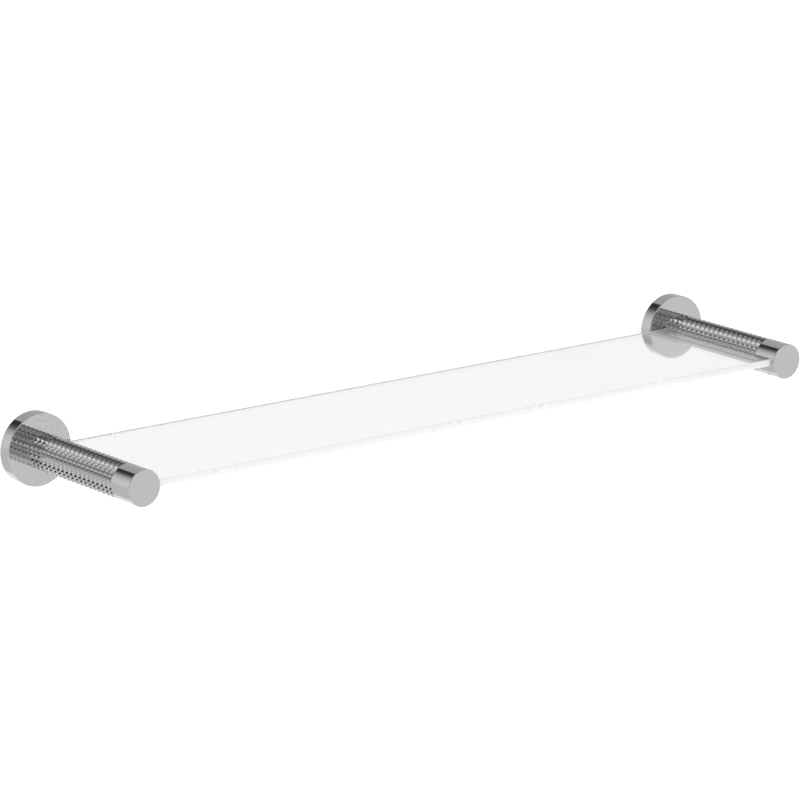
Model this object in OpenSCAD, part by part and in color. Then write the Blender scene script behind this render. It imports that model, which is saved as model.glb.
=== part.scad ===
// Wall shelf: a toughened-glass slab held in slotted round posts, each on a wall rosette.
// X runs along the shelf, the wall is the plane y = 0, the posts stand out along -Y, Z is up.
// The origin lies on the wall, midway between the posts, at the height of the post axes.
// Every depth below is a distance from the wall.

/* [Overall] */
// Distance between the two post axes
post_centres = 558; // [400:1:900]

/* [Rosette] */
// Diameter of the rosette
rosette_d = 50; // [48:1:60]
// Thickness of the rosette, from the wall to its front face
rosette_t = 10; // [9:0.5:14]
// Thickness of the rosette's front wall
rosette_front_t = 3.5; // [3.5:0.5:4]
// Thickness of the rosette's rim
rosette_rim_t = 3.2; // [2.5:0.1:3.5]

/* [Post] */
// Diameter of the plain head, and of the knurl over its tips
post_d = 25; // [24.5:0.5:27]
// Length of the plain head
head_len = 20; // [14:1:30]
// Diameter of the core that carries the knurled sleeve
core_d = 19; // [18.5:0.5:20]
// Chamfer on the turned edges
edge_chamfer = 0.4; // [0.2:0.1:0.8]

/* [Knurl] */
// Studs along the sleeve
knurl_rows = 20; // [6:1:28]
// Studs around the sleeve
knurl_columns = 24; // [16:4:32]
// Length of one stud along the sleeve
knurl_pitch = 5; // [3:0.5:6]
// Height of a stud above the grooves
knurl_h = 0.8; // [0.4:0.1:1]
// Share of a stud that shows between the rosette and the first groove
knurl_phase = 0.8; // [0:0.1:1]
// Turn of the left-hand sleeve's studs about its axis, in degrees
left_knurl_turn = 5; // [0:0.5:15]

/* [Glass] */
// Thickness of the glass
glass_t = 5; // [4:0.5:6]
// Height of the middle of the glass above the post axes
glass_lift = 0.5; // [0:0.1:0.5]
// How far the glass reaches into each post
glass_grip = 8.5; // [7:0.5:8.5]
// Distance from the front of the glass forward to the front of the heads
glass_setback = 3.2; // [2.5:0.1:6]
// Gap between the rosettes and the back edge of the glass
glass_back_gap = 1.3; // [1:0.1:20]
// Polished bevel along the edges of the glass
glass_bevel = 0.5; // [0.2:0.1:0.8]
// Wall thickness of the clear gasket around the ends of the glass
gasket_t = 0.3; // [0.3:0.1:0.6]

/* [Fixings] */
// Thickness of the wall plate inside the rosette
plate_t = 4.5; // [4.5:0.1:4.8]
// Height between the two screw slots of a wall plate
slot_spacing = 28; // [27:0.5:29]
// Width of a screw slot
slot_w = 5; // [4:0.5:5]
// Length of a screw slot
slot_len = 8; // [6:0.5:9]
// Nominal diameter of the screw that joins post and rosette
post_screw_d = 6; // [5:1:6]
// Nominal diameter of the grub screws
grub_d = 4; // [3:0.5:4]
// Diameter of the locating pin
pin_d = 3; // [2:0.5:3]

/* [Hidden] */
$fn = 96;

LEFT = -1;
RIGHT = 1;
eps = 0.01;
over = 1;                 // how far a cutter runs past what it cuts
thread_gap = 0.05;        // radial clearance between a screw and its hole

post_r = post_d / 2;
core_r = core_d / 2;
bore_r = core_r + 0.05;   // sliding fit of the sleeve on the core
rosette_r = rosette_d / 2;
cavity_r = rosette_r - rosette_rim_t;
cavity_depth = rosette_t - rosette_front_t;
knurl_len = knurl_rows * knurl_pitch;
head_start = rosette_t + knurl_len;
post_end = head_start + head_len;

glass_len = post_centres - 2 * (post_r - glass_grip);
glass_front = post_end - glass_setback;
glass_back = rosette_t + glass_back_gap;
glass_end_x = -(post_r - glass_grip);   // seen from the right-hand post's axis
slot_h = glass_t + 2 * gasket_t;
slot_floor = glass_lift - slot_h / 2;
slot_end_x = glass_end_x + gasket_t;
slot_gap = 0.2;                         // play between glass and slot, front and back
gasket_inset = 0.5;                     // how far the gasket lies back from the post's flank

plate_r = cavity_r - 0.3;
plate_hole_r = 8;
groove_depth = 1;
groove_at = 3.2;                        // depth of the rim groove and of its grub screw
slot_recess_t = 1.5;
slot_recess_w = 9;
slot_recess_len = 12;

screw_r = post_screw_d / 2 - thread_gap;
screw_head_r = 5;
screw_head_t = 4;
screw_socket_af = 4;
screw_end = rosette_t + 17;
tapped_end = rosette_t + 20;
washer_t = 1.6;
washer_r = 5.9;
washer_split = 0.8;
grub_r = grub_d / 2 - thread_gap;
grub_socket_af = 2;
grub_socket_depth = 2.2;
glass_grub_x = glass_end_x - 2.4;
glass_grub_at = head_start + head_len / 2;
glass_grub_len = 5;
pin_z = 6.4;
pin_start = rosette_t - 2.8;
pin_end = rosette_t + 3.8;
pin_gap = 0.02;

// Solid of revolution about the post axis; points are [radius, depth].
module turned(points) {
    rotate([90, 0, 0])
        rotate_extrude()
            polygon(points);
}

// Cylinder along the post axis between two depths.
module rod(start, end, r) {
    translate([0, -start, 0])
        rotate([90, 0, 0])
            cylinder(h = end - start, r = r);
}

// Block given by its range along X, its range of depth and its range in height.
module block(x, depth, z) {
    translate([x[0], -depth[1], z[0]])
        cube([x[1] - x[0], depth[1] - depth[0], z[1] - z[0]]);
}

// Puts a piece drawn for the right-hand post on either side.
module on_side(side) {
    if (side == RIGHT)
        translate([post_centres / 2, 0, 0]) children();
    else
        translate([-post_centres / 2, 0, 0]) mirror([1, 0, 0]) children();
}

// Hexagon socket, across flats af, cut upward from the height z.
module socket(af, depth) {
    translate([0, 0, -eps])
        cylinder(h = depth + eps, r = af / 2 / cos(30), $fn = 6);
}

// Glass slab with a polished bevel along its front and back edges.
module glass_shelf() {
    half_t = glass_t / 2;
    outline = [
        [glass_back + glass_bevel, half_t],
        [glass_back, half_t - glass_bevel],
        [glass_back, -half_t + glass_bevel],
        [glass_back + glass_bevel, -half_t],
        [glass_front - glass_bevel, -half_t],
        [glass_front, -half_t + glass_bevel],
        [glass_front, half_t - glass_bevel],
        [glass_front - glass_bevel, half_t]
    ];
    color("azure", 0.35)
        translate([glass_len / 2, 0, glass_lift])
            rotate([90, 0, -90])
                linear_extrude(height = glass_len)
                    polygon(outline);
}

// Cup-shaped cover: its cavity takes the wall plate, its front wall carries the post.
module rosette() {
    color("silver")
        difference() {
            turned([
                [cavity_r, 0],
                [rosette_r, 0],
                [rosette_r, rosette_t - edge_chamfer],
                [rosette_r - edge_chamfer, rosette_t],
                [post_screw_d / 2 + 0.2, rosette_t],
                [post_screw_d / 2 + 0.2, cavity_depth],
                [cavity_r, cavity_depth]
            ]);
            translate([0, 0, pin_z])
                rod(pin_start - 0.1, rosette_t + over, pin_d / 2 + pin_gap);
            translate([0, -groove_at, -rosette_r - over])
                cylinder(h = rosette_rim_t + 2 * over, r = grub_d / 2);
        }
}

// Slot that takes the end of the glass and its gasket.
module glass_slot(start, end) {
    block([-post_r - over, slot_end_x], [start, end], [slot_floor, slot_floor + slot_h]);
}

// Turned bar: the plain head is what shows, the thinner part carries the sleeve.
module post_core() {
    color("silver")
        difference() {
            turned([
                [0, rosette_t],
                [core_r, rosette_t],
                [core_r, head_start],
                [post_r, head_start],
                [post_r, post_end - edge_chamfer],
                [post_r - edge_chamfer, post_end],
                [0, post_end]
            ]);
            glass_slot(glass_back - slot_gap, glass_front + slot_gap);
            rod(rosette_t - over, tapped_end, post_screw_d / 2);
            translate([0, 0, pin_z])
                rod(rosette_t - over, pin_end + 0.2, pin_d / 2 + pin_gap);
            translate([glass_grub_x, -glass_grub_at, -post_r - over])
                cylinder(h = post_r + over + slot_floor + eps, r = grub_d / 2);
        }
}

// Bar of pyramid studs in straight rows and columns, longer than the sleeve at both ends.
module knurled_bar() {
    step = 360 / knurl_columns;
    groove_r = post_r - knurl_h;
    rows = knurl_rows + 1;
    start = rosette_t + (knurl_phase - 1) * knurl_pitch;
    corners = [
        for (i = [0 : rows], j = [0 : knurl_columns - 1])
            [groove_r * cos(j * step), -start - i * knurl_pitch, groove_r * sin(j * step)]
    ];
    tips = [
        for (i = [0 : rows - 1], j = [0 : knurl_columns - 1])
            [
                post_r * cos((j + 0.5) * step),
                -start - (i + 0.5) * knurl_pitch,
                post_r * sin((j + 0.5) * step)
            ]
    ];
    function corner(i, j) = i * knurl_columns + j % knurl_columns;
    function tip(i, j) = len(corners) + i * knurl_columns + j;
    studs = [
        for (i = [0 : rows - 1], j = [0 : knurl_columns - 1])
            let (ring = [corner(i, j), corner(i + 1, j), corner(i + 1, j + 1), corner(i, j + 1)])
                for (k = [0 : 3]) [ring[k], ring[(k + 1) % 4], tip(i, j)]
    ];
    back_face = [for (j = [0 : knurl_columns - 1]) corner(0, j)];
    front_face = [for (j = [knurl_columns - 1 : -1 : 0]) corner(rows, j)];
    polyhedron(points = concat(corners, tips), faces = concat(studs, [back_face, front_face]));
}

// Knurled tube trapped between the head and the rosette; the slot runs on into the core.
module knurled_sleeve(turn) {
    spare = knurl_pitch + over;
    color("silver")
        difference() {
            rotate([0, -turn, 0]) knurled_bar();
            rod(rosette_t - spare, head_start + spare, bore_r);
            rod(rosette_t - spare, rosette_t, post_r + over);
            rod(head_start, head_start + spare, post_r + over);
            glass_slot(glass_back - slot_gap, head_start + over);
        }
}

// Clear U-shaped gasket between the end of the glass and the slot.
module glass_gasket() {
    outer_x = -post_r + gasket_inset;
    color("gainsboro", 0.6)
        difference() {
            block([outer_x, slot_end_x], [glass_back, glass_front], [slot_floor, slot_floor + slot_h]);
            block(
                [outer_x - over, glass_end_x],
                [glass_back - over, glass_front + over],
                [slot_floor + gasket_t, slot_floor + gasket_t + glass_t]
            );
        }
}

// Grub screw under the head that presses the gasket against the glass.
module glass_grub_screw() {
    color("dimgray")
        translate([glass_grub_x, -glass_grub_at, slot_floor - glass_grub_len])
            difference() {
                cylinder(h = glass_grub_len, r = grub_r);
                socket(grub_socket_af, grub_socket_depth);
            }
}

// One screw slot of the wall plate, with its recess for a screw head.
module wall_slot() {
    for (size = [[slot_len, slot_w, -over, plate_t + over],
                 [slot_recess_len, slot_recess_w, plate_t - slot_recess_t, plate_t + over]]) {
        reach = (size[0] - size[1]) / 2;
        block([-reach, reach], [size[2], size[3]], [-size[1] / 2, size[1] / 2]);
        for (x = [-reach, reach])
            translate([x, 0, 0]) rod(size[2], size[3], size[1] / 2);
    }
}

// Disc screwed to the wall; the rosette slips over it and locks in its rim groove.
module wall_plate() {
    color("darkgray")
        difference() {
            turned([
                [plate_hole_r, 0],
                [plate_r, 0],
                [plate_r, groove_at - groove_depth],
                [plate_r - groove_depth, groove_at],
                [plate_r, groove_at + groove_depth],
                [plate_r, plate_t],
                [plate_hole_r, plate_t]
            ]);
            for (z = [-1, 1] * slot_spacing / 2)
                translate([0, 0, z]) wall_slot();
        }
}

// Cone-pointed grub screw under the rosette, in the wall plate's rim groove.
module rosette_grub_screw() {
    point_r = 0.3;
    point_z = plate_r - groove_depth + point_r + thread_gap;
    cone_h = grub_r - point_r;
    head_z = rosette_r - 0.3;
    color("dimgray")
        translate([0, -groove_at, -head_z])
            difference() {
                union() {
                    cylinder(h = head_z - point_z - cone_h, r = grub_r);
                    translate([0, 0, head_z - point_z - cone_h])
                        cylinder(h = cone_h, r1 = grub_r, r2 = point_r);
                }
                socket(grub_socket_af, grub_socket_depth * 0.6);
            }
}

// Screw from inside the rosette into the core.
module post_screw() {
    seat = cavity_depth - washer_t;
    color("gray")
        difference() {
            union() {
                rod(seat - screw_head_t, seat, screw_head_r);
                rod(seat - eps, screw_end, screw_r);
            }
            translate([0, -(seat - screw_head_t), 0])
                rotate([90, 0, 0]) socket(screw_socket_af, 2);
        }
}

// Split spring washer under the head of the post screw.
module spring_washer() {
    color("gray")
        difference() {
            rod(cavity_depth - washer_t, cavity_depth, washer_r);
            rod(cavity_depth - washer_t - over, cavity_depth + over, post_screw_d / 2 + 0.1);
            block(
                [0, washer_r + over],
                [cavity_depth - washer_t - over, cavity_depth + over],
                [-washer_split / 2, washer_split / 2]
            );
        }
}

// Pin that keeps the glass slot level with the rosette.
module locating_pin() {
    color("gray")
        translate([0, 0, pin_z]) rod(pin_start, pin_end, pin_d / 2);
}

glass_shelf();
on_side(LEFT) rosette();  // rosette_left
on_side(RIGHT) rosette();  // rosette_right
on_side(LEFT) post_core();  // post_core_left
on_side(RIGHT) post_core();  // post_core_right
on_side(LEFT) knurled_sleeve(left_knurl_turn);  // knurled_sleeve_left
on_side(RIGHT) knurled_sleeve(0);  // knurled_sleeve_right
on_side(LEFT) glass_gasket();  // glass_gasket_left
on_side(RIGHT) glass_gasket();  // glass_gasket_right
on_side(LEFT) glass_grub_screw();  // glass_grub_screw_left
on_side(RIGHT) glass_grub_screw();  // glass_grub_screw_right
on_side(LEFT) wall_plate();  // wall_plate_left
on_side(RIGHT) wall_plate();  // wall_plate_right
on_side(LEFT) rosette_grub_screw();  // rosette_grub_screw_left
on_side(RIGHT) rosette_grub_screw();  // rosette_grub_screw_right
on_side(LEFT) post_screw();  // post_screw_left
on_side(RIGHT) post_screw();  // post_screw_right
on_side(LEFT) spring_washer();  // spring_washer_left
on_side(RIGHT) spring_washer();  // spring_washer_right
on_side(LEFT) locating_pin();  // locating_pin_left
on_side(RIGHT) locating_pin();  // locating_pin_right
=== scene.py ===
import math

import bmesh
import bpy
from mathutils import Matrix, Vector


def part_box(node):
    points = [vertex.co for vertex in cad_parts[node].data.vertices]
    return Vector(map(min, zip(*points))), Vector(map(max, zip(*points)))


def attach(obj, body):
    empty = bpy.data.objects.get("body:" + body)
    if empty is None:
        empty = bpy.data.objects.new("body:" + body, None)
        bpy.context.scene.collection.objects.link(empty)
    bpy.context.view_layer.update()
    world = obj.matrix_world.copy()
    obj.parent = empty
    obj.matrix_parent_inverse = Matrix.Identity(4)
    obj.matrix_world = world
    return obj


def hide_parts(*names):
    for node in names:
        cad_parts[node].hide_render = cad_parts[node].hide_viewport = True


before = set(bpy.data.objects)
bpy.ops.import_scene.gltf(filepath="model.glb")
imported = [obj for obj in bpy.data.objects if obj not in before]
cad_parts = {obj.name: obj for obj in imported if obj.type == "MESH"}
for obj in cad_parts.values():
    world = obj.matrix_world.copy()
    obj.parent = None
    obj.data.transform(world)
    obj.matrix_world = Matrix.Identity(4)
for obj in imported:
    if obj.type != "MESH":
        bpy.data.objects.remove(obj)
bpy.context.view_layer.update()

MM = 0.001
SIDES = {"left": -1, "right": 1}
ROUND = 192                     # segments round the large turned parts
FINE = 48                       # segments round the small holes and screws

# --- Driving dimensions, read from the CAD frame (metres, right-hand side) ---------------------
rosette_lo, rosette_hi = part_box("rosette_right")
core_lo, core_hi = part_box("post_core_right")
sleeve_lo, sleeve_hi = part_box("knurled_sleeve_right")
glass_lo, glass_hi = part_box("glass_shelf")
gasket_lo, gasket_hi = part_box("glass_gasket_right")

POST_X = (rosette_lo.x + rosette_hi.x) / 2
ROSETTE_R = (rosette_hi.x - rosette_lo.x) / 2
ROSETTE_T = -rosette_lo.y
POST_R = (core_hi.z - core_lo.z) / 2
POST_END = -core_lo.y
HEAD_START = -sleeve_lo.y

# --- Dimensions that the boxes don't give ------------------------------------------------------
EDGE = 0.4 * MM                 # radius of the turned edges
CUP_R = 21.8 * MM               # inside of the rosette
CUP_DEPTH = 6.5 * MM
SCREW_HOLE_R = 3.2 * MM         # in the rosette, for the post screw
GROOVE_DEPTH = 3.2 * MM         # from the wall to the wall plate's groove and the grub screw in it
GRUB_HOLE_R = 2 * MM
GRUB_PITCH = 0.7 * MM
GRUB_SOCKET = 2 * MM            # across the flats
CORE_R = 9.5 * MM
BORE_R = 9.55 * MM              # inside of the knurled sleeve
SLOT_GAP = 0.2 * MM             # in front of and behind the glass
GLASS_GRUB_INSET = 2.4 * MM     # from the end of the glass
GLASS_BEVEL = 0.4 * MM
KNURL_ROWS = 20
KNURL_COLUMNS = 24
KNURL_H = 0.8 * MM
STUD_STEPS = 8                  # mesh steps across a stud
KNURL_PHASE = 0.8               # share of a stud between the rosette and the first groove
KNURL_TURN = {"left": 5, "right": 0}
TIP_ROUND = 0.03                # how far the studs' tips are rounded, as a share of a stud

# --- Camera ------------------------------------------------------------------------------------
CAMERA_PLACE = (-2.1238, -2.7534, 0.8867)
CAMERA_ANGLES = (-38.06, 14.48, 0.22)    # azimuth from the front, elevation and roll, in degrees
CAMERA_LENS = 231.6
SENSOR = 36

# --- Studio ------------------------------------------------------------------------------------
WORLD_LIGHT = 1.1
FLOOR_LIGHT = 1.22
# Tone of the walls round the Y axis, at degrees from +X towards +Z.
WALLS = [
    (-180, 1.0), (-174, 0.9), (-160, 0.85), (-94, 0.8), (-90, 1.1), (-34, 1.1), (-28, 0.58),
    (89, 0.58), (91, 0.06), (104, 0.05), (116, 0.15), (130, 0.55), (145, 0.85), (165, 1.0),
    (180, 1.0),
]
FRONT = 0.8                     # tone of the side that faces the wall
# Soft round patches over them, each (tilt, turn, reach, soft, tone): lamps are lighter than 1.
PATCHES = [
    (85, 158, 20, 12, 0.5),
    (125, 260, 12, 10, 1.6),
    (135, 212, 8, 10, 1.5),
    (100, 205, 4, 8, 1.6),
    (70, 112, 6, 12, 1.4),
    (145, 72, 10, 5, 0.35),
    (145, 138, 8, 8, 0.3),
    (66, 60, 6, 8, 0.15),
    (70, 80, 6, 5, 0.15),
    (77, 140, 6, 6, 0.2),
    (66, 218, 5, 6, 0),
    (62, 243, 3, 5, 0),
    (128, 45, 6, 6, 0.3),
    (52, 290, 3, 3, 0.1),
    (28, 172, 2, 4, 3),
    (55, 255, 3, 5, 2.5),
    (23, 112, 3, 5, 2.5),
    (140, -23, 10, 6, 0.97),
    (140, 23, 8, 6, 0.97),
]


# --- Mesh helpers ------------------------------------------------------------------------------
def new_piece(name, verts, faces, sharp=30):
    """Makes an object from vertices and faces, smooth except across edges over sharp degrees."""
    mesh = bpy.data.meshes.new(name)
    mesh.from_pydata([tuple(v) for v in verts], [], faces)
    piece = bpy.data.objects.new(name, mesh)
    bpy.context.scene.collection.objects.link(piece)
    smooth(piece, sharp)
    return piece


def smooth(piece, sharp=30):
    """Shades a piece smooth, with sharp edges where two faces meet over sharp degrees."""
    form = bmesh.new()
    form.from_mesh(piece.data)
    bmesh.ops.recalc_face_normals(form, faces=form.faces)
    for face in form.faces:
        face.smooth = True
    for edge in form.edges:
        edge.smooth = len(edge.link_faces) == 2 and edge.calc_face_angle(0) < math.radians(sharp)
    form.to_mesh(piece.data)
    form.free()


def with_holding_points(outline, long=0.6 * MM, near=0.05 * MM):
    """Adds a point near both ends of each long straight stretch, so that it shades flat."""
    points = []
    for (r0, d0), (r1, d1) in zip(outline, outline[1:] + outline[:1]):
        points.append((r0, d0))
        length = math.hypot(r1 - r0, d1 - d0)
        if length > long and (r0 > 0 or r1 > 0):
            for share in (near / length, 1 - near / length):
                points.append((r0 + (r1 - r0) * share, d0 + (d1 - d0) * share))
    return points


def turned(name, outline, segments=ROUND):
    """Solid of revolution about the post axis; outline is a list of (radius, depth)."""
    outline = with_holding_points(outline)
    verts, rings = [], []
    for radius, depth in outline:
        if radius < 1e-9:
            rings.append([len(verts)])
            verts.append((0, -depth, 0))
            continue
        rings.append(list(range(len(verts), len(verts) + segments)))
        for k in range(segments):
            angle = math.tau * k / segments
            verts.append((radius * math.cos(angle), -depth, radius * math.sin(angle)))
    faces = []
    closed = len(rings[0]) > 1
    for i in range(len(rings) if closed else len(rings) - 1):
        a, b = rings[i], rings[(i + 1) % len(rings)]
        for k in range(segments):
            n = (k + 1) % segments
            corners = [a[k % len(a)], a[n % len(a)], b[n % len(b)], b[k % len(b)]]
            faces.append(list(dict.fromkeys(corners)))
    return new_piece(name, verts, faces)


def arc(centre, radius, start, end, steps=6):
    """Points (radius, depth) along an arc, angles in degrees from the radius axis."""
    points = []
    for k in range(steps + 1):
        angle = math.radians(start + (end - start) * k / steps)
        points.append((centre[0] + radius * math.cos(angle), centre[1] + radius * math.sin(angle)))
    return points


def block(lo, hi):
    """Cutter box between two corners."""
    corners = [(x, y, z) for x in (lo[0], hi[0]) for y in (lo[1], hi[1]) for z in (lo[2], hi[2])]
    faces = [(0, 1, 3, 2), (4, 6, 7, 5), (0, 4, 5, 1), (2, 3, 7, 6), (0, 2, 6, 4), (1, 5, 7, 3)]
    return new_piece("cutter", corners, faces)


def rod(start, end, radius):
    """Cutter cylinder from one point up to another, along Z."""
    form = bmesh.new()
    height = (Vector(end) - Vector(start)).length
    centre = (Vector(start) + Vector(end)) / 2
    bmesh.ops.create_cone(
        form, cap_ends=True, segments=FINE, radius1=radius, radius2=radius, depth=height,
        matrix=Matrix.Translation(centre),
    )
    mesh = bpy.data.meshes.new("cutter")
    form.to_mesh(mesh)
    form.free()
    cutter = bpy.data.objects.new("cutter", mesh)
    bpy.context.scene.collection.objects.link(cutter)
    return cutter


def cut(piece, cutters):
    """Cuts each cutter out of the piece and removes the cutters."""
    for cutter in cutters:
        step = piece.modifiers.new("cut", "BOOLEAN")
        step.operation = "DIFFERENCE"
        step.solver = "EXACT"
        step.object = cutter
    graph = bpy.context.evaluated_depsgraph_get()
    result = bpy.data.meshes.new_from_object(piece.evaluated_get(graph))
    piece.modifiers.clear()
    piece.data = result
    for cutter in cutters:
        bpy.data.objects.remove(cutter)
    smooth(piece)


def to_side(piece, side):
    """Moves a piece drawn on the right-hand post's axis to its own post, mirrored on the left."""
    sign = SIDES[side]
    for vertex in piece.data.vertices:
        vertex.co.x = sign * (vertex.co.x + POST_X)
    smooth(piece)


def finished(piece, material, slot, *nodes):
    """Gives a piece its material and lets it stand for its CAD nodes."""
    piece.data.materials.clear()
    piece.data.materials.append(material)
    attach(piece, "root")
    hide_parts(*nodes)


# --- Materials ---------------------------------------------------------------------------------
class Finish:
    """A procedural material: its shader and the few node chains that every finish here uses."""

    def __init__(self, name, metallic=0.0, transmission=0.0, ior=1.5):
        self.material = bpy.data.materials.new(name)
        self.material.use_nodes = True
        self.nodes = self.material.node_tree.nodes
        self.links = self.material.node_tree.links
        self.shader = self.nodes["Principled BSDF"]
        self.shader.inputs["Metallic"].default_value = metallic
        self.shader.inputs["Transmission Weight"].default_value = transmission
        self.shader.inputs["IOR"].default_value = ior
        self.place = self.nodes.new("ShaderNodeTexCoord").outputs["Object"]

    def stretched(self, x, y, z):
        """Coordinates scaled along each axis, for a grain that runs one way."""
        node = self.nodes.new("ShaderNodeMapping")
        node.inputs["Scale"].default_value = (x, y, z)
        self.links.new(self.place, node.inputs["Vector"])
        return node.outputs[0]

    def noise(self, scale, detail, vector=None):
        node = self.nodes.new("ShaderNodeTexNoise")
        node.inputs["Scale"].default_value = scale
        node.inputs["Detail"].default_value = detail
        self.links.new(vector or self.place, node.inputs["Vector"])
        return node.outputs["Fac"]

    def crystals(self, scale):
        """A random value for each cell of a Voronoi pattern."""
        node = self.nodes.new("ShaderNodeTexVoronoi")
        node.inputs["Scale"].default_value = scale
        self.links.new(self.place, node.inputs["Vector"])
        split = self.nodes.new("ShaderNodeSeparateColor")
        self.links.new(node.outputs["Color"], split.inputs[0])
        return split.outputs["Red"]

    def remap(self, value, low, high, start=0.3, end=0.7):
        """Turns start..end of a value into low..high."""
        node = self.nodes.new("ShaderNodeMapRange")
        node.inputs["From Min"].default_value = start
        node.inputs["From Max"].default_value = end
        node.inputs["To Min"].default_value = low
        node.inputs["To Max"].default_value = high
        self.links.new(value, node.inputs["Value"])
        return node.outputs["Result"]

    def tone(self, value, first, last, start=0.3, end=0.7):
        """Base colour that runs from first to last as a value runs from start to end."""
        node = self.nodes.new("ShaderNodeMix")
        node.data_type = "RGBA"
        node.inputs["A"].default_value = (*first, 1)
        node.inputs["B"].default_value = (*last, 1)
        self.links.new(self.remap(value, 0, 1, start, end), node.inputs["Factor"])
        self.links.new(node.outputs["Result"], self.shader.inputs["Base Color"])

    def roughness(self, value, low, high, start=0.3, end=0.7):
        self.links.new(self.remap(value, low, high, start, end), self.shader.inputs["Roughness"])

    def bump(self, value, distance, strength):
        node = self.nodes.new("ShaderNodeBump")
        node.inputs["Distance"].default_value = distance
        node.inputs["Strength"].default_value = strength
        self.links.new(value, node.inputs["Height"])
        self.links.new(node.outputs["Normal"], self.shader.inputs["Normal"])

    def post_radius(self):
        """Distance of a point from the axis of its own post."""
        split = self.nodes.new("ShaderNodeSeparateXYZ")
        self.links.new(self.place, split.inputs[0])
        side = self.math("ABSOLUTE", split.outputs["X"])
        across = self.math("SUBTRACT", side, POST_X)
        squares = self.math("MULTIPLY", across, across)
        height = self.math("MULTIPLY", split.outputs["Z"], split.outputs["Z"])
        return self.math("SQRT", self.math("ADD", squares, height))

    def math(self, operation, first, second=None):
        node = self.nodes.new("ShaderNodeMath")
        node.operation = operation
        for socket, value in zip(node.inputs, (first, second)):
            if isinstance(value, float):
                socket.default_value = value
            elif value is not None:
                self.links.new(value, socket)
        return node.outputs[0]


def chrome():
    """Mirror chrome: faint polishing haze and a very slight orange peel."""
    finish = Finish("polished_chrome", metallic=1.0)
    finish.tone(finish.noise(scale=30, detail=3), (0.475, 0.475, 0.475), (0.485, 0.485, 0.485))
    finish.roughness(finish.noise(scale=70, detail=4), low=0.008, high=0.03)
    finish.bump(finish.noise(scale=500, detail=1), distance=2e-6, strength=0.3)
    return finish.material


def chrome_knurl():
    """Chrome over the studs with painted shade: base colour darker down in the grooves and lighter on
    the crests; rougher and duller in the grooves.
    """
    finish = Finish("knurled_chrome", metallic=1.0)
    low, high = POST_R - KNURL_H, POST_R
    # Painted shade: the base colour darkens from the crests down into the grooves.
    finish.tone(finish.post_radius(), (0.43, 0.43, 0.43), (0.51, 0.51, 0.51), start=low, end=high)
    finish.roughness(finish.post_radius(), 0.09, 0.02, start=low, end=high)
    finish.bump(finish.noise(scale=1500, detail=2), distance=2e-6, strength=0.5)
    return finish.material


def clear_glass():
    """Clear glass with a slight haze."""
    finish = Finish("clear_glass", transmission=0.88)
    finish.tone(finish.noise(scale=12, detail=2), (0.994, 0.994, 0.994), (1, 1, 1))
    finish.roughness(finish.noise(scale=35, detail=4), low=0, high=0.004)
    return finish.material


def ground_edge():
    """Ground edges of the glass: satin, whitish, with painted shading that makes them a little
    lighter towards the bottom.
    """
    finish = Finish("ground_glass_edge", transmission=0.2)
    split = finish.nodes.new("ShaderNodeSeparateXYZ")
    finish.links.new(finish.place, split.inputs[0])
    low, high = glass_lo.z, glass_hi.z
    # Painted shading: base colour lighter at the bottom of the edge, darker towards the top.
    finish.tone(split.outputs["Z"], (0.97, 0.97, 0.97), (0.86, 0.86, 0.86), start=low, end=high)
    finish.roughness(finish.noise(scale=60, detail=3), low=0.25, high=0.4)
    grain = finish.noise(scale=40, detail=2, vector=finish.stretched(1, 60, 60))
    finish.bump(grain, distance=1e-5, strength=0.2)
    return finish.material


def clear_vinyl():
    """Soft clear vinyl, a little milky, with fine mould grain."""
    finish = Finish("clear_vinyl", transmission=0.5, ior=1.45)
    finish.tone(finish.noise(scale=60, detail=3), (0.88, 0.88, 0.88), (0.95, 0.95, 0.95))
    finish.roughness(finish.noise(scale=140, detail=3), low=0.28, high=0.42)
    finish.bump(finish.noise(scale=2600, detail=2), distance=2e-5, strength=0.3)
    return finish.material


def zinc():
    """Zinc-plated steel: fine crystals, each of its own tone, and a satin surface."""
    finish = Finish("zinc_plate", metallic=1.0)
    finish.tone(finish.crystals(scale=650), (0.44, 0.45, 0.46), (0.62, 0.63, 0.65), start=0, end=1)
    finish.roughness(finish.noise(scale=300, detail=4), low=0.26, high=0.45)
    finish.bump(finish.noise(scale=1200, detail=3), distance=1e-5, strength=0.3)
    return finish.material


def stainless():
    """Machined stainless steel with fine tool marks across the screw's length."""
    finish = Finish("stainless_steel", metallic=1.0)
    marks = finish.noise(scale=40, detail=3, vector=finish.stretched(6, 130, 6))
    finish.tone(finish.noise(scale=200, detail=3), (0.40, 0.40, 0.41), (0.52, 0.52, 0.53))
    finish.roughness(marks, low=0.18, high=0.36)
    finish.bump(marks, distance=8e-6, strength=0.3)
    return finish.material


# --- Pieces ------------------------------------------------------------------------------------
def make_rosette(side, material):
    """Cup-shaped cover with softly rounded edges, its screw hole and its grub-screw hole."""
    soft = 0.15 * MM
    outline = arc((CUP_R + soft, soft), soft, 180, 270, 3)
    outline += arc((ROSETTE_R - soft, soft), soft, 270, 360, 3)
    outline += arc((ROSETTE_R - EDGE, ROSETTE_T - EDGE), EDGE, 0, 90)
    outline += [(SCREW_HOLE_R, ROSETTE_T), (SCREW_HOLE_R, CUP_DEPTH)]
    outline += arc((CUP_R - EDGE, CUP_DEPTH - EDGE), EDGE, 90, 0, 4)
    piece = turned("rosette_shell_" + side, outline)
    hole_end = -20 * MM    # inside the cup
    hole = rod((0, -GROOVE_DEPTH, -ROSETTE_R - MM), (0, -GROOVE_DEPTH, hole_end), GRUB_HOLE_R)
    cut(piece, [hole])
    to_side(piece, side)
    finished(piece, material, "polished_chrome", "rosette_" + side)


def slot_cutter(front, back):
    """Cutter for the slot that takes the glass and its gasket."""
    lo = (-POST_R - MM, front, gasket_lo.z)
    hi = (gasket_hi.x - POST_X, back, gasket_hi.z)
    return block(lo, hi)


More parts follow.
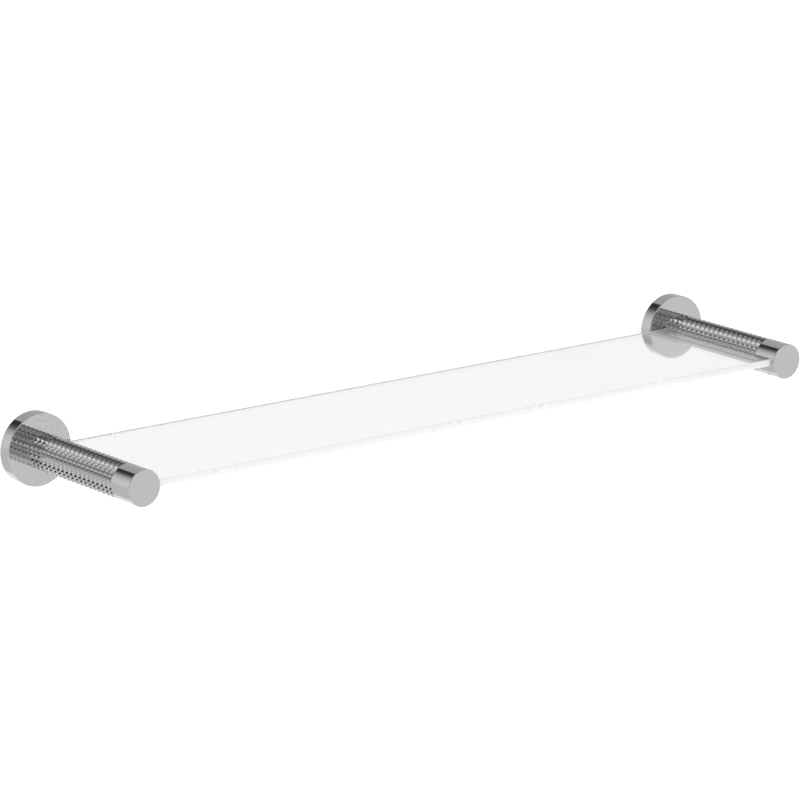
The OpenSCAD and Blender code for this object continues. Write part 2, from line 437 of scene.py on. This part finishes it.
def make_core(side, material):
    """Turned bar: the plain head in front, and the thinner part inside the knurled sleeve."""
    outline = [(0, ROSETTE_T), (CORE_R, ROSETTE_T), (CORE_R, HEAD_START)]
    outline += arc((POST_R - EDGE / 2, HEAD_START + EDGE / 2), EDGE / 2, 270, 360, 3)
    outline += arc((POST_R - EDGE, POST_END - EDGE), EDGE, 0, 90)
    outline += [(0, POST_END)]
    piece = turned("post_bar_" + side, outline)
    slot = slot_cutter(glass_lo.y - SLOT_GAP, glass_hi.y + SLOT_GAP)
    depth = (HEAD_START + POST_END) / 2
    x = glass_hi.x - POST_X - GLASS_GRUB_INSET
    hole = rod((x, -depth, -POST_R - MM), (x, -depth, 0), GRUB_HOLE_R)
    cut(piece, [slot, hole])
    to_side(piece, side)
    finished(piece, material, "polished_chrome", "post_core_" + side)


def stud_height(u, v):
    """Height of a stud, 0 to 1, at u, v from -1 to 1 across it: a pyramid with a soft tip."""
    reach = max(abs(u), abs(v))
    fall = math.hypot(reach, TIP_ROUND) - TIP_ROUND
    return 1 - fall / (math.hypot(1, TIP_ROUND) - TIP_ROUND)


def stud_rings():
    """The sleeve's mesh rings as (depth, step on its stud), then where the studs start and a step.

    They are evenly spaced on the studs, with one more at each end.
    """
    step = (HEAD_START - ROSETTE_T) / KNURL_ROWS / STUD_STEPS
    first = ROSETTE_T - (1 - KNURL_PHASE) * step * STUD_STEPS
    rings = [(ROSETTE_T, 0)]
    for i in range((KNURL_ROWS + 1) * STUD_STEPS):
        depth = first + i * step
        if ROSETTE_T + step / 4 < depth < HEAD_START - step / 4:
            rings.append((depth, i % STUD_STEPS))
    rings.append((HEAD_START, 0))
    return rings, first, step


def make_sleeve(side, material):
    """Knurled tube: straight rows and columns of pyramid studs, cut off square at both ends."""
    around = KNURL_COLUMNS * STUD_STEPS
    rings, first, step = stud_rings()
    turn = math.radians(KNURL_TURN[side])
    verts, faces = [], []
    for depth, _ in rings:
        u = 2 * ((depth - first) / step / STUD_STEPS % 1) - 1
        for k in range(around):
            v = 2 * (k % STUD_STEPS) / STUD_STEPS - 1
            radius = POST_R - KNURL_H * (1 - stud_height(u, v))
            angle = math.tau * k / around + turn
            verts.append((radius * math.cos(angle), -depth, radius * math.sin(angle)))
    outer = len(verts)
    for depth in (ROSETTE_T, HEAD_START):
        for k in range(around):
            angle = math.tau * k / around + turn
            verts.append((BORE_R * math.cos(angle), -depth, BORE_R * math.sin(angle)))
    last = (len(rings) - 1) * around
    for k in range(around):
        n = (k + 1) % around
        for i in range(len(rings) - 1):
            a, b = i * around, (i + 1) * around
            row, column = rings[i][1], k % STUD_STEPS
            # The squares on a stud's ridges are split along the ridge.
            if row == column:
                faces.append((a + k, a + n, b + n))
                faces.append((a + k, b + n, b + k))
            elif row + column == STUD_STEPS - 1:
                faces.append((a + k, a + n, b + k))
                faces.append((a + n, b + n, b + k))
            else:
                faces.append((a + k, a + n, b + n, b + k))
        faces.append((k, outer + k, outer + n, n))
        faces.append((last + k, last + n, outer + around + n, outer + around + k))
        faces.append((outer + k, outer + around + k, outer + around + n, outer + n))
    piece = new_piece("knurl_" + side, verts, faces)
    cut(piece, [slot_cutter(-HEAD_START - MM, glass_hi.y + SLOT_GAP)])
    to_side(piece, side)
    smooth(piece, 14)
    finished(piece, material, "polished_chrome", "knurled_sleeve_" + side)


def make_glass(clear, ground):
    """Glass slab: clear faces, ground edges and a bevel all round."""
    form = bmesh.new()
    size = glass_hi - glass_lo
    centre = (glass_lo + glass_hi) / 2
    place = Matrix.Translation(centre) @ Matrix.Diagonal((*size, 1))
    bmesh.ops.create_cube(form, size=1, matrix=place)
    bmesh.ops.bevel(form, geom=form.edges[:], offset=GLASS_BEVEL, segments=1, affect="EDGES")
    mesh = bpy.data.meshes.new("glass_slab")
    form.to_mesh(mesh)
    form.free()
    piece = bpy.data.objects.new("glass_slab", mesh)
    bpy.context.scene.collection.objects.link(piece)
    finished(piece, clear, "clear_glass", "glass_shelf")
    mesh.materials.append(ground)
    for polygon in mesh.polygons:
        polygon.material_index = 0 if abs(polygon.normal.z) > 0.99 else 1


def extruded(name, outline, start, end):
    """Closed outline of (x, z) points drawn out along Y between two depths."""
    count = len(outline)
    verts = [(x, -depth, z) for depth in (start, end) for x, z in outline]
    faces = [tuple(range(count)), tuple(range(2 * count - 1, count - 1, -1))]
    faces += [(k, (k + 1) % count, count + (k + 1) % count, count + k) for k in range(count)]
    return new_piece(name, verts, faces)


def make_gasket(side, material):
    """U-shaped strip between the end of the glass and the slot, with rounded lips."""
    lo, hi = gasket_lo, gasket_hi
    left, right = lo.x - POST_X, hi.x - POST_X
    wall = (hi.z - lo.z - (glass_hi.z - glass_lo.z)) / 2
    inner = glass_hi.x - POST_X
    lip, corner = wall * 0.45, wall * 0.8
    outline = arc((right - corner, hi.z - corner), corner, 0, 90, 4)
    outline += arc((left + lip, hi.z - lip), lip, 90, 180, 3)
    outline += arc((left + lip, glass_hi.z + lip), lip, 180, 270, 3)
    outline += [(inner, glass_hi.z), (inner, glass_lo.z)]
    outline += arc((left + lip, glass_lo.z - lip), lip, 90, 180, 3)
    outline += arc((left + lip, lo.z + lip), lip, 180, 270, 3)
    outline += arc((right - corner, lo.z + corner), corner, 270, 360, 4)
    piece = extruded("glass_strip_" + side, outline, -hi.y, -lo.y)
    to_side(piece, side)
    finished(piece, material, "clear_gasket", "glass_gasket_" + side)


def upright(piece, x, depth):
    """Turns a piece drawn along the post axis so that it points up, at x and a depth."""
    for vertex in piece.data.vertices:
        vertex.co = Vector((vertex.co.x + x, vertex.co.z - depth, -vertex.co.y))


def threaded(name, shape, start, end, radius, pitch, segments=40):
    """Solid of revolution with a helical thread between two depths, six vertex rings to a turn.

    shape is a list of (radius, depth) for the plain rings before the thread.
    """
    steps = max(2, round((end - start) / pitch * 6))
    rings = [[(r, d)] * segments for r, d in shape]
    for i in range(steps + 1):
        depth = start + (end - start) * i / steps
        fade = min(1, (end - depth) / pitch, (depth - start) / pitch)
        ring = []
        for k in range(segments):
            phase = (depth / pitch + k / segments) % 1
            groove = 0.5 * pitch * (1 - abs(2 * phase - 1)) * max(0, fade)
            ring.append((radius - groove, depth))
        rings.append(ring)
    rings.append([(radius - 0.55 * pitch, end)] * segments)
    verts, loops = [], []
    for ring in rings:
        loops.append(list(range(len(verts), len(verts) + segments)))
        for k, (r, depth) in enumerate(ring):
            angle = math.tau * k / segments
            verts.append((r * math.cos(angle), -depth, r * math.sin(angle)))
    faces = [tuple(loops[0]), tuple(reversed(loops[-1]))]
    for a, b in zip(loops, loops[1:]):
        for k in range(segments):
            n = (k + 1) % segments
            faces.append((a[k], a[n], b[n], b[k]))
    return new_piece(name, verts, faces, 40)


def hexagon(flats, top, bottom):
    """Cutter for a hexagon socket along the post axis between two depths."""
    reach = flats / 2 / math.cos(math.radians(30))
    outline = []
    for k in range(6):
        angle = math.radians(60 * k + 30)
        outline.append((reach * math.cos(angle), reach * math.sin(angle)))
    return extruded("cutter", outline, top, bottom)


def make_post_screw(side, material):
    """Socket-head screw from inside the rosette, with a helical thread."""
    lo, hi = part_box("post_screw_right")
    head_r, head_t = (hi.z - lo.z) / 2, 4 * MM
    top, seat, end = -hi.y, -hi.y + head_t, -lo.y
    radius, plain, pitch, soft = 2.95 * MM, 1.6 * MM, 1 * MM, 0.15 * MM
    # The head's upper edge is rounded in two steps, its lower edge in one.
    shape = [(head_r - 0.6 * MM, top), (head_r - 0.3 * MM, top + 0.08 * MM)]
    shape += [(head_r, top + 0.4 * MM), (head_r, seat - soft)]
    shape += [(head_r - soft, seat), (radius, seat)]
    piece = threaded("socket_screw_" + side, shape, seat + plain, end, radius, pitch)
    socket, socket_depth = 4 * MM, 2 * MM
    cut(piece, [hexagon(socket, top - MM, top + socket_depth)])
    to_side(piece, side)
    finished(piece, material, "stainless_fastener", "post_screw_" + side)


def make_washer(side, material):
    """Split ring of square section with rounded corners and a slanting cut."""
    lo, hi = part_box("spring_washer_right")
    outer, inner = (hi.z - lo.z) / 2, 3.1 * MM
    start, end = -hi.y, -lo.y
    soft = 0.2 * MM
    section = arc((inner + soft, start + soft), soft, 180, 270, 3)
    section += arc((outer - soft, start + soft), soft, 270, 360, 3)
    section += arc((outer - soft, end - soft), soft, 0, 90, 3)
    section += arc((inner + soft, end - soft), soft, 90, 180, 3)
    steps, count = 96, len(section)
    gap, lean = 0.075, 0.05    # half the cut, and how far it leans, in radians
    verts, faces = [], []
    for k in range(steps + 1):
        share = k / steps
        for radius, depth in section:
            slant = lean * ((depth - start) / (end - start) - 0.5)
            angle = gap + slant + (math.tau - 2 * gap) * share
            verts.append((radius * math.cos(angle), -depth, radius * math.sin(angle)))
    for k in range(steps):
        for j in range(count):
            n = (j + 1) % count
            faces.append((k * count + j, k * count + n, (k + 1) * count + n, (k + 1) * count + j))
    faces.append(tuple(range(count)))
    faces.append(tuple(range((steps + 1) * count - 1, steps * count - 1, -1)))
    piece = new_piece("spring_ring_" + side, verts, faces, 40)
    to_side(piece, side)
    finished(piece, material, "stainless_fastener", "spring_washer_" + side)


def make_pin(side, material):
    """Ground locating pin with domed ends."""
    lo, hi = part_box("locating_pin_right")
    radius, start, end = (hi.z - lo.z) / 2, -hi.y, -lo.y
    soft = 0.4 * MM
    outline = [(0, start)] + arc((radius - soft, start + soft), soft, 270, 360, 4)
    outline += arc((radius - soft, end - soft), soft, 0, 90, 4) + [(0, end)]
    piece = turned("ground_pin_" + side, outline, FINE)
    for vertex in piece.data.vertices:
        vertex.co.z += (hi.z + lo.z) / 2
    to_side(piece, side)
    finished(piece, material, "stainless_fastener", "locating_pin_" + side)


def make_glass_grub(side, material):
    """Grub screw under the head, threaded, with a hexagon socket in its lower end."""
    lo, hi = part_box("glass_grub_screw_right")
    radius = (hi.x - lo.x) / 2
    shape = [(radius - GRUB_PITCH / 2, lo.z)]
    piece = threaded("head_grub_" + side, shape, lo.z + 0.1 * MM, hi.z, radius, GRUB_PITCH)
    socket_depth = 2.2 * MM
    cut(piece, [hexagon(GRUB_SOCKET, lo.z - MM, lo.z + socket_depth)])
    upright(piece, (lo.x + hi.x) / 2 - POST_X, -(lo.y + hi.y) / 2)
    to_side(piece, side)
    finished(piece, material, "stainless_fastener", "glass_grub_screw_" + side)


def make_rosette_grub(side, material):
    """Grub screw under the rosette, threaded, with a hexagon socket and a flat end that stops short
    of the top of its CAD box.
    """
    lo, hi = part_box("rosette_grub_screw_right")
    radius = (hi.x - lo.x) / 2
    cone = radius - 0.3 * MM
    shape = [(radius - GRUB_PITCH / 2, lo.z)]
    piece = threaded("rim_grub_" + side, shape, lo.z + 0.1 * MM, hi.z - cone, radius, GRUB_PITCH)
    socket_depth = 1.3 * MM
    cut(piece, [hexagon(GRUB_SOCKET, lo.z - MM, lo.z + socket_depth)])
    upright(piece, (lo.x + hi.x) / 2 - POST_X, -(lo.y + hi.y) / 2)
    to_side(piece, side)
    finished(piece, material, "stainless_fastener", "rosette_grub_screw_" + side)


def slot_shape(wide, length, height, start, end):
    """Cutter for a slot with round ends, along X, between two depths."""
    reach = (length - wide) / 2
    outline = []
    steps = 16
    for middle, first in ((reach, -90), (-reach, 90)):
        for k in range(steps + 1):
            angle = math.radians(first + 180 * k / steps)
            outline.append((middle + wide / 2 * math.cos(angle), height + wide / 2 * math.sin(angle)))
    return extruded("cutter", outline, start, end)


def make_wall_plate(side, material):
    """Wall plate: grooved rim, soft edges, two recessed screw slots and the relief hole."""
    lo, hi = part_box("wall_plate_right")
    radius, thick = (hi.z - lo.z) / 2, -lo.y
    hole, soft, deep = 8 * MM, 0.25 * MM, 1 * MM
    outline = [(hole + soft, 0), (radius - soft, 0), (radius, soft)]
    outline += [(radius, GROOVE_DEPTH - deep), (radius - deep, GROOVE_DEPTH)]
    outline += [(radius, GROOVE_DEPTH + deep), (radius, thick - soft)]
    outline += [(radius - soft, thick), (hole + soft, thick), (hole, thick - soft), (hole, soft)]
    piece = turned("zinc_disc_" + side, outline)
    slot = (5 * MM, 8 * MM, -MM)                       # width, length and the depth it starts at
    recess = (9 * MM, 12 * MM, thick - 1.5 * MM)
    cutters = []
    for height in (-14 * MM, 14 * MM):
        for wide, length, start in (slot, recess):
            cutters.append(slot_shape(wide, length, height, start, thick + MM))
    cut(piece, cutters)
    to_side(piece, side)
    finished(piece, material, "zinc_plate", "wall_plate_" + side)


# --- Stage -------------------------------------------------------------------------------------
def make_floor():
    """Plain glowing white floor, low enough to leave the view from underneath free.

    The chrome mirrors the studio in its place.
    """
    size, z = 120, -4
    corners = [(-size, -size, z), (size, -size, z), (size, size, z), (-size, size, z)]
    mesh = bpy.data.meshes.new("floor")
    mesh.from_pydata(corners, [], [(0, 1, 2, 3)])
    floor = bpy.data.objects.new("floor", mesh)
    bpy.context.scene.collection.objects.link(floor)
    material = bpy.data.materials.new("white_floor")
    material.use_nodes = True
    nodes = material.node_tree.nodes
    nodes.clear()
    out = nodes.new("ShaderNodeOutputMaterial")
    light = nodes.new("ShaderNodeEmission")
    light.inputs["Strength"].default_value = FLOOR_LIGHT
    material.node_tree.links.new(light.outputs[0], out.inputs["Surface"])
    mesh.materials.append(material)
    floor.visible_glossy = False


def toward(tilt, turn):
    """Unit direction: tilt from +Y, then turn round the Y axis from +X towards +Z, in degrees."""
    tilt, turn = math.radians(tilt), math.radians(turn)
    return (math.sin(tilt) * math.cos(turn), math.cos(tilt), math.sin(tilt) * math.sin(turn))


class Studio:
    """Studio walls as the chrome mirrors them; everything else is lit by plain white light."""

    def __init__(self):
        world = bpy.data.worlds.new("studio")
        bpy.context.scene.world = world
        world.use_nodes = True
        self.nodes, self.links = world.node_tree.nodes, world.node_tree.links
        self.nodes.clear()
        self.place = self.nodes.new("ShaderNodeTexCoord").outputs["Generated"]
        split = self.nodes.new("ShaderNodeSeparateXYZ")
        self.links.new(self.place, split.inputs[0])
        self.x, self.y, self.z = split.outputs["X"], split.outputs["Y"], split.outputs["Z"]
        self.shade = None

    def walls(self, stops):
        """Tone of the walls round the Y axis: (degrees from +X towards +Z, tone) in order."""
        turn = self.nodes.new("ShaderNodeMath")
        turn.operation = "ARCTAN2"
        self.links.new(self.z, turn.inputs[0])
        self.links.new(self.x, turn.inputs[1])
        share = self.nodes.new("ShaderNodeMapRange")
        share.inputs["From Min"].default_value = -math.pi
        share.inputs["From Max"].default_value = math.pi
        self.links.new(turn.outputs[0], share.inputs["Value"])
        ramp = self.nodes.new("ShaderNodeValToRGB")
        elements = ramp.color_ramp.elements
        while len(elements) < len(stops):
            elements.new(0.5)
        for element, (angle, value) in zip(elements, stops):
            element.position = (angle + 180) / 360
            element.color = (value, value, value, 1)
        self.links.new(share.outputs[0], ramp.inputs["Fac"])
        self.shade = ramp.outputs[0]

    def blend(self, factor, value):
        """Moves the studio's tone to a value where the factor is 1."""
        mix = self.nodes.new("ShaderNodeMix")
        mix.data_type = "RGBA"
        self.links.new(factor, mix.inputs["Factor"])
        self.links.new(self.shade, mix.inputs["A"])
        mix.inputs["B"].default_value = (value, value, value, 1)
        self.shade = mix.outputs["Result"]

    def front(self, value):
        """The side of the studio that faces the wall."""
        share = self.nodes.new("ShaderNodeMapRange")
        share.inputs["From Max"].default_value = -0.4
        self.links.new(self.y, share.inputs["Value"])
        self.blend(share.outputs[0], value)

    def patch(self, tilt, turn, reach, soft, value):
        """Round lamp or flag: full within reach degrees, gone soft degrees further out."""
        dot = self.nodes.new("ShaderNodeVectorMath")
        dot.operation = "DOT_PRODUCT"
        self.links.new(self.place, dot.inputs[0])
        dot.inputs[1].default_value = toward(tilt, turn)
        share = self.nodes.new("ShaderNodeMapRange")
        share.interpolation_type = "SMOOTHSTEP"
        share.inputs["From Min"].default_value = math.cos(math.radians(reach + soft))
        share.inputs["From Max"].default_value = math.cos(math.radians(reach))
        self.links.new(dot.outputs["Value"], share.inputs["Value"])
        self.blend(share.outputs[0], value)

    def finish(self):
        """Mirrored rays see the studio, all others see plain white."""
        path = self.nodes.new("ShaderNodeLightPath")
        plain = self.nodes.new("ShaderNodeBackground")
        plain.inputs["Color"].default_value = (1, 1, 1, 1)
        plain.inputs["Strength"].default_value = WORLD_LIGHT
        mirrored = self.nodes.new("ShaderNodeBackground")
        self.links.new(self.shade, mirrored.inputs["Color"])
        mirrored.inputs["Strength"].default_value = WORLD_LIGHT
        both = self.nodes.new("ShaderNodeMixShader")
        self.links.new(path.outputs["Is Glossy Ray"], both.inputs[0])
        self.links.new(plain.outputs[0], both.inputs[1])
        self.links.new(mirrored.outputs[0], both.inputs[2])
        out = self.nodes.new("ShaderNodeOutputWorld")
        self.links.new(both.outputs[0], out.inputs["Surface"])


def make_studio():
    studio = Studio()
    studio.walls(WALLS)
    studio.front(FRONT)
    for patch in PATCHES:
        studio.patch(*patch)
    studio.finish()


def make_camera():
    """Camera at the photograph's viewing angle."""
    azimuth, elevation, roll = (math.radians(angle) for angle in CAMERA_ANGLES)
    back = Vector((
        math.sin(azimuth) * math.cos(elevation),
        -math.cos(azimuth) * math.cos(elevation),
        math.sin(elevation),
    ))
    right = Vector((math.cos(azimuth), math.sin(azimuth), 0))
    up = back.cross(right)
    turned_right = math.cos(roll) * right + math.sin(roll) * up
    turned_up = back.cross(turned_right)
    data = bpy.data.cameras.new("camera")
    data.sensor_width = SENSOR
    data.lens = CAMERA_LENS
    data.clip_end = 400
    camera = bpy.data.objects.new("camera", data)
    bpy.context.scene.collection.objects.link(camera)
    turn = Matrix((turned_right, turned_up, back)).transposed().to_4x4()
    camera.matrix_world = Matrix.Translation(CAMERA_PLACE) @ turn
    bpy.context.scene.camera = camera


make_camera()
mirror_chrome = chrome()
knurl_chrome = chrome_knurl()
vinyl = clear_vinyl()
zinc_steel = zinc()
steel = stainless()
for side in SIDES:
    make_rosette(side, mirror_chrome)
    make_core(side, mirror_chrome)
    make_sleeve(side, knurl_chrome)
    make_gasket(side, vinyl)
    make_wall_plate(side, zinc_steel)
    make_post_screw(side, steel)
    make_washer(side, steel)
    make_pin(side, steel)
    make_glass_grub(side, steel)
    make_rosette_grub(side, steel)
make_glass(clear_glass(), ground_edge())
make_floor()
make_studio()
bpy.context.scene.view_settings.view_transform = "Standard"
